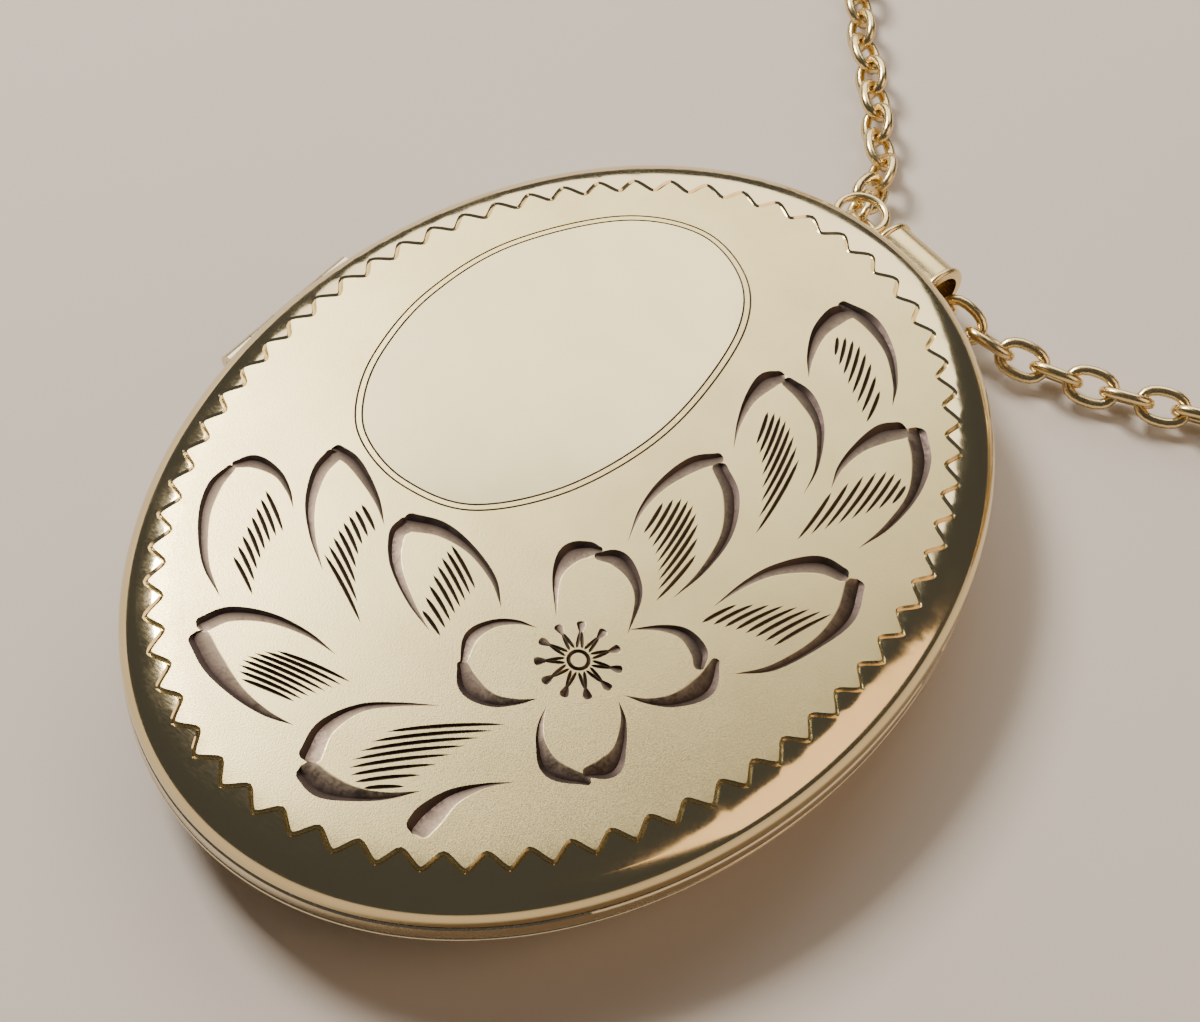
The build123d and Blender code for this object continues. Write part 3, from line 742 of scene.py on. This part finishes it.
def engraved_mesh(name):
    """The front cover: engraved top, turned edge and plain inside, as one closed mesh."""
    work, border, panel = engrave_front()
    # outline of the top, then the engraving's points, then a grid that carries the dome
    points = [(SQUEEZE * FIELD_R * math.cos(a), FIELD_R * math.sin(a)) for a in COLUMNS]
    offset = len(points)
    edges = [(i, (i + 1) % offset) for i in range(offset)]
    edges += [(a + offset, b + offset) for a, b in work.edges]
    points += work.points
    cuts = np.array(work.points)
    for y in np.arange(-HALF_LENGTH, HALF_LENGTH, GRID_ROW):
        shift = GRID / 2 * (round(y / GRID_ROW) % 2)
        for x in np.arange(-HALF_WIDTH, HALF_WIDTH, GRID) + shift:
            clear = np.min(np.hypot(cuts[:, 0] - x, cuts[:, 1] - y)) > CLEARANCE
            if clear and math.hypot(x / SQUEEZE, y) < FIELD_R - FIELD_MARGIN:
                points.append((x, y))
    plan, _, faces, orig, _, _ = delaunay_2d_cdt([Vector(p) for p in points], edges, [],
                                                 WHOLE_HULL, PLAN_TOLERANCE, True)
    plan = np.array([tuple(p) for p in plan])
    depth, share, _ = work.read(plan)
    centres = plan[np.array(faces)].mean(axis=1)
    *_, owner = work.read(centres)
    plain = np.where(inside_loop(centres, border), KINDS.index("field"), KINDS.index("polished"))
    plain = np.where(inside_loop(centres, panel), KINDS.index("panel"), plain)
    kinds = [KINDS.index(work.facets[o][1]) if o >= 0 else int(k) for o, k in zip(owner, plain)]
    verts = [(x, y, h) for (x, y), h in zip(plan, dome_z(plan[:, 0], plan[:, 1]) - depth)]
    where = {old: new for new, olds in enumerate(orig) for old in olds}
    rim = [where[i] for i in range(offset)]

    r, thumb_z = HALF_LENGTH, SEAM_Z + THUMB_HALF_Z
    rows = [tuple(p) for p in TURN_CURVE[TURN_CURVE[:, 0] > FIELD_R + TURN_MARGIN][::TURN_STRIDE]]
    rows += [(r, LIP_Z - TURN_END), (r, thumb_z + STEP), (r, thumb_z - STEP),
             (r, LIP_EDGE_Z + BEVEL), (r - BEVEL, LIP_EDGE_Z), (INSIDE_R, LIP_EDGE_Z)]
    rows += [tuple(p) for p in bezier(*FRONT_INSIDE, steps=6)] + FRONT_INSIDE_DOME
    start = len(verts)
    verts += turned_rows(rows)
    n = len(COLUMNS)
    side = [(rim[j], start + j, start + (j + 1) % n, rim[(j + 1) % n]) for j in range(n)]
    side += closed_turning(rows, start)[1:]
    kinds += [KINDS.index("polished")] * len(side)
    return mesh_from(name, verts, [tuple(f) for f in faces] + side), kinds, share


# ---- materials ---------------------------------------------------------------------------------
class Look:
    """A material with one Principled shader, and short ways to add its nodes."""

    def __init__(self, name, metallic=1.0, roughness=0.3):
        self.material = bpy.data.materials.new(name)
        self.material.use_nodes = True
        self.tree = self.material.node_tree
        self.shader = self.tree.nodes["Principled BSDF"]
        self.shader.inputs["Metallic"].default_value = metallic
        self.shader.inputs["Roughness"].default_value = roughness
        self.coords = self.tree.nodes.new("ShaderNodeTexCoord").outputs["Object"]

    def plug(self, value, socket):
        """Links a node's output to a socket, or sets the socket to a plain value."""
        if isinstance(value, bpy.types.NodeSocket):
            self.tree.links.new(value, socket)
        else:
            socket.default_value = value

    def set(self, **values):
        """Sets the shader's inputs by name, with _ for a space."""
        for name, value in values.items():
            self.plug(value, self.shader.inputs[name.replace("_", " ")])

    def noise(self, size, detail=2.0, stretch=(1, 1, 1)):
        """Noise with features of about a size in millimetres, stretched along axes."""
        mapping = self.tree.nodes.new("ShaderNodeMapping")
        mapping.inputs["Scale"].default_value = [1 / s for s in stretch]
        self.plug(self.coords, mapping.inputs["Vector"])
        node = self.tree.nodes.new("ShaderNodeTexNoise")
        node.inputs["Scale"].default_value = 1 / (size * MM)
        node.inputs["Detail"].default_value = detail
        self.plug(mapping.outputs["Vector"], node.inputs["Vector"])
        return node.outputs["Fac"]

    def attribute(self, name):
        """A value stored on the mesh's points."""
        node = self.tree.nodes.new("ShaderNodeAttribute")
        node.attribute_name = name
        return node.outputs["Fac"]

    def span(self, value, low, high, to_low=0.0, to_high=1.0):
        """Maps a value's span low to high onto another, clamped."""
        node = self.tree.nodes.new("ShaderNodeMapRange")
        for name, v in (("Value", value), ("From Min", low), ("From Max", high),
                        ("To Min", to_low), ("To Max", to_high)):
            self.plug(v, node.inputs[name])
        return node.outputs["Result"]

    def math(self, operation, a, b):
        node = self.tree.nodes.new("ShaderNodeMath")
        node.operation = operation
        self.plug(a, node.inputs[0])
        self.plug(b, node.inputs[1])
        return node.outputs[0]

    def mix(self, fac, a, b):
        """Mixes two colours."""
        node = self.tree.nodes.new("ShaderNodeMix")
        node.data_type = "RGBA"
        self.plug(fac, node.inputs[0])
        self.plug(colour(a), node.inputs[6])
        self.plug(colour(b), node.inputs[7])
        return node.outputs[2]

    def bump(self, height, strength, distance):
        """Relief of a height in millimetres."""
        node = self.tree.nodes.new("ShaderNodeBump")
        node.inputs["Strength"].default_value = strength
        node.inputs["Distance"].default_value = distance * MM
        self.plug(height, node.inputs["Height"])
        self.set(Normal=node.outputs["Normal"])


def colour(value):
    """A colour with its alpha, or a node's output as it is."""
    return (*value, 1) if isinstance(value, tuple) else value


PALE_GOLD = (0.82, 0.67, 0.335)
# colour at the bottom of the cuts: patina together with painted shade
PATINA_AND_SHADE = (0.045, 0.031, 0.026)


def satin_gold():
    """Brushed field: a fine matte grain with soft clouds of tone."""
    look = Look("satin_gold")
    cloud = look.noise(3.0, 3)
    grain = look.noise(0.055, 2)
    look.set(Base_Color=look.mix(look.span(cloud, 0.35, 0.7), PALE_GOLD, (0.74, 0.60, 0.29)))
    look.set(Roughness=look.span(grain, 0.3, 0.7, 0.36, 0.5))
    look.bump(grain, 0.5, 0.012)
    return look.material


def polished_gold(name="polished_gold", tint=(0.82, 0.66, 0.36), roughness=(0.07, 0.16)):
    """Buffed metal with a faint haze and hairline scratches."""
    look = Look(name)
    haze = look.noise(2.5, 4)
    hairline = look.noise(0.06, 2, (5, 1, 1))
    look.set(Base_Color=look.mix(look.span(haze, 0.35, 0.75), tint, tuple(0.92 * c for c in tint)))
    look.set(Roughness=look.span(look.math("ADD", haze, hairline), 0.7, 1.3, *roughness))
    look.bump(hairline, 0.02, 0.002)
    return look.material


def cut_metal(name, deep, shallow, pale_edge_share=0.1):
    """The inside of a cut: patina with painted shade, darkest at the bottom, paling to gold along
    the edge.
    """
    look = Look(name)
    share = look.attribute("cut_share")
    streaks = look.math("ADD", look.noise(0.13, 3), look.noise(0.5, 2))
    # painted shade with the patina: the deeper the cut, the darker
    tone = look.mix(look.span(share, 0.1, 0.95), shallow, deep)
    tone = look.mix(look.span(streaks, 0.8, 1.25, 0.0, 0.6), tone, deep)
    if pale_edge_share:
        tone = look.mix(look.span(share, 0.0, pale_edge_share), PALE_GOLD, tone)
    look.set(Base_Color=tone)
    look.set(Roughness=look.span(streaks, 0.8, 1.2, 0.55, 0.4))
    look.bump(streaks, 0.22, 0.015)
    return look.material


def card():
    """Blank picture card: tan paper, faintly stained, with its fibre."""
    look = Look("picture_card", metallic=0.0)
    fibre = look.noise(0.12, 4)
    stain = look.noise(4.0, 3)
    tone = look.mix(look.span(stain, 0.35, 0.7), (0.40, 0.29, 0.17), (0.29, 0.20, 0.11))
    look.set(Base_Color=tone)
    look.set(Roughness=look.span(fibre, 0.3, 0.7, 0.7, 0.9))
    look.bump(fibre, 0.3, 0.02)
    return look.material


def acetate():
    """Clear picture cover, faintly hazed by handling."""
    look = Look("clear_acetate", metallic=0.0)
    haze = look.noise(1.5, 4)
    tone = look.mix(look.span(haze, 0.35, 0.7), (0.97, 0.97, 0.95), (0.92, 0.92, 0.88))
    look.set(Base_Color=tone)
    look.set(Roughness=look.span(haze, 0.35, 0.7, 0.03, 0.14))
    look.set(Alpha=0.06, IOR=1.47)
    look.bump(haze, 0.1, 0.01)
    return look.material


MATERIALS = {
    "field": satin_gold(),
    "polished": polished_gold(),
    # the steep walls are coloured darker than the slopes as painted shade
    "steep": cut_metal("cut_steep", PATINA_AND_SHADE, (0.08, 0.057, 0.047), pale_edge_share=0),
    "slope": cut_metal("cut_slope", PATINA_AND_SHADE, (0.22, 0.165, 0.115)),
    "vein": cut_metal("cut_vein", (0.05, 0.036, 0.028), (0.13, 0.095, 0.065)),
    # the border groove's inner wall is tinted darker as painted shade, its outer wall paler as a
    # painted highlight
    "border_in": polished_gold("cut_border_shade", (0.60, 0.46, 0.23), (0.2, 0.3)),
    "panel": polished_gold("panel_gold", (0.85, 0.72, 0.40), (0.23, 0.26)),
    "border_out": polished_gold("cut_border_bright", (0.93, 0.80, 0.48)),
    "buffed": polished_gold("buffed_gold", (0.83, 0.70, 0.46), (0.16, 0.3)),
    "steel": polished_gold("pin_steel", (0.56, 0.55, 0.53), (0.2, 0.34)),
    "acetate": acetate(),
    "card": card(),
    "chain": polished_gold("chain_gold", (0.81, 0.63, 0.31), (0.18, 0.32)),
}


def crease(mesh, angle, also=()):
    """Marks edges sharper than an angle in degrees, and any others given."""
    mesh.set_sharp_from_angle(angle=math.radians(angle))
    if len(also):
        attribute = mesh.attributes["sharp_edge"]
        sharp = np.zeros(len(mesh.edges), bool)
        attribute.data.foreach_get("value", sharp)
        attribute.data.foreach_set("value", sharp | np.array(also))


def make_front():
    """The engraved front, one material to each kind of face, creased where two kinds meet."""
    mesh, kinds, share = engraved_mesh("front_engraved")
    attribute = mesh.attributes.new("cut_share", "FLOAT", "POINT")
    values = np.zeros(len(mesh.vertices), np.float32)
    values[:len(share)] = share
    attribute.data.foreach_set("value", values)
    for kind in KINDS:
        mesh.materials.append(MATERIALS[kind])
    mesh.polygons.foreach_set("material_index", kinds)
    weld(mesh)
    cover = add_object("front_engraved", mesh, "front_half")
    kind_of = {}
    for polygon in mesh.polygons:
        for key in polygon.edge_keys:
            kind_of.setdefault(key, set()).add(polygon.material_index)
    between = [len(kind_of.get(tuple(sorted(e.vertices)), ())) > 1 for e in mesh.edges]
    crease(mesh, angle=30, also=between)
    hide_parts("front_cover")


def make_back():
    """The plain back: a shallow dish with a rolled foot and the front's two notches."""
    r, rim, thumb_z = HALF_LENGTH, WALL_EDGE_Z, SEAM_Z - THUMB_HALF_Z
    foot_r, foot_z = (c + FOOT_BEAD_R for c in WALL_FOOT)
    rows = [(BACK_MIDDLE_R, SHEET)] + [tuple(p) for p in bezier(*BACK_INSIDE, steps=12)]
    rows += [(INSIDE_R, rim), (r - BEVEL, rim), (r, rim - BEVEL), (r, thumb_z + STEP),
             (r, thumb_z - STEP), (r, WALL_START_Z)]
    rows += [(foot_r + FOOT_BEAD_R * math.cos(a), foot_z + FOOT_BEAD_R * math.sin(a))
             for a in np.linspace(FOOT_BEAD_TURN, -FOOT_BEAD_TURN, FOOT_BEAD_ROWS)]
    rows += [tuple(p) for p in bezier(*BACK_OUTSIDE, steps=40)[1:]] + [(BACK_MIDDLE_R, 0)]
    mesh = mesh_from("back_shell", turned_rows(rows), closed_turning(rows))
    weld(mesh)
    cover = add_object("back_shell", mesh, "back_half", [MATERIALS["buffed"]])
    crease(mesh, angle=40)
    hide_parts("back_cover")


def make_beads(name, body, side):
    """Milgrain: a row of small beads round the step of a bezel."""
    around, across = BEAD_POINTS
    points, faces = [], []
    for i in range(BEADS):
        angle = 2 * math.pi * i / BEADS
        middle = Vector((SQUEEZE * BEAD_RING_R * math.cos(angle), BEAD_RING_R * math.sin(angle),
                         SEAM_Z + side * BEAD_OFF_SEAM))
        base = len(points)
        for j in range(across + 1):
            polar = math.pi * (j + 0.5) / (across + 1)
            for k in range(around):
                turn = 2 * math.pi * k / around
                points.append(middle + BEAD_R * Vector((math.sin(polar) * math.cos(turn),
                                                        math.sin(polar) * math.sin(turn),
                                                        math.cos(polar))))
        for j in range(across):
            for k in range(around):
                a, b = base + j * around, base + (j + 1) * around
                l = (k + 1) % around
                faces.append((a + k, b + k, b + l, a + l))
        faces.append(tuple(range(base, base + around)))
        last = base + across * around
        faces.append(tuple(reversed(range(last, last + around))))
    add_object(name, mesh_from(name, points, faces), body, [MATERIALS["buffed"]])


make_front()
make_back()
make_beads("front_bezel_beads", "front_half", 1)
make_beads("back_bezel_beads", "back_half", -1)
for strand in strands.values():
    strand.data.materials.append(MATERIALS["chain"])


def dress_frame():
    """Surfaces of the pieces that keep their frame shape."""
    looks = {
        "front_frame": "polished", "back_frame": "polished", "front_bezel": "buffed",
        "back_bezel": "buffed", "front_window": "acetate", "back_window": "acetate",
        "front_picture": "card", "back_picture": "card", "front_knuckles": "buffed",
        "back_knuckles": "buffed", "hinge_pin": "steel", "catch_tongue": "buffed",
        "bail_tube": "chain", "bail_ring": "chain", "clasp_body": "chain", "clasp_bolt": "chain",
        "clasp_spring": "steel", "clasp_link": "chain", "end_ring": "chain",
    }
    for name, look in looks.items():
        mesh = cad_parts[name].data
        mesh.materials.clear()
        mesh.materials.append(MATERIALS[look])
        mesh.polygons.foreach_set("use_smooth", [True] * len(mesh.polygons))
        crease(mesh, angle=35)


dress_frame()


# ---- stage: a pale floor under soft light ------------------------------------------------------
FLOOR_HALF = 600
FLOOR_Z = -0.02                           # just clear of the locket's flat back
LIT_PLACE = (0, 0, 4)


def area_light(name, place, size, power, tint):
    """A rectangular light that faces the locket. Its power is in watts."""
    data = bpy.data.lights.new(name, "AREA")
    data.shape = "RECTANGLE"
    data.size, data.size_y = (s * MM for s in size)
    data.energy = power
    data.color = tint
    light = bpy.data.objects.new(name, data)
    place, target = Vector(place) * MM, Vector(LIT_PLACE) * MM
    light.location = place
    light.rotation_euler = (target - place).to_track_quat("-Z", "Y").to_euler()
    bpy.context.scene.collection.objects.link(light)


def make_stage():
    """The floor, a faint even sky and three soft lights."""
    half, level = FLOOR_HALF, FLOOR_Z
    mesh = mesh_from("floor", [(-half, -half, level), (half, -half, level), (half, half, level),
                               (-half, half, level)], [(0, 1, 2, 3)])
    look = Look("floor", metallic=0.0, roughness=0.9)
    look.set(Base_Color=(0.62, 0.55, 0.47, 1))
    floor = add_object("floor", mesh, materials=[look.material])
    world = bpy.data.worlds.new("world")
    world.use_nodes = True
    background = world.node_tree.nodes["Background"]
    background.inputs["Color"].default_value = (0.9, 0.92, 1.0, 1)
    background.inputs["Strength"].default_value = 0.085
    bpy.context.scene.world = world
    area_light("back_panel", (-150, 235, 200), (360, 270), 0.84, (1.0, 0.97, 0.91))
    area_light("left_box", (-260, 40, 270), (110, 110), 1.9, (1.0, 0.97, 0.93))
    area_light("warm_fill", (235, 100, 190), (240, 240), 0.34, (1.0, 0.70, 0.44))


make_stage()
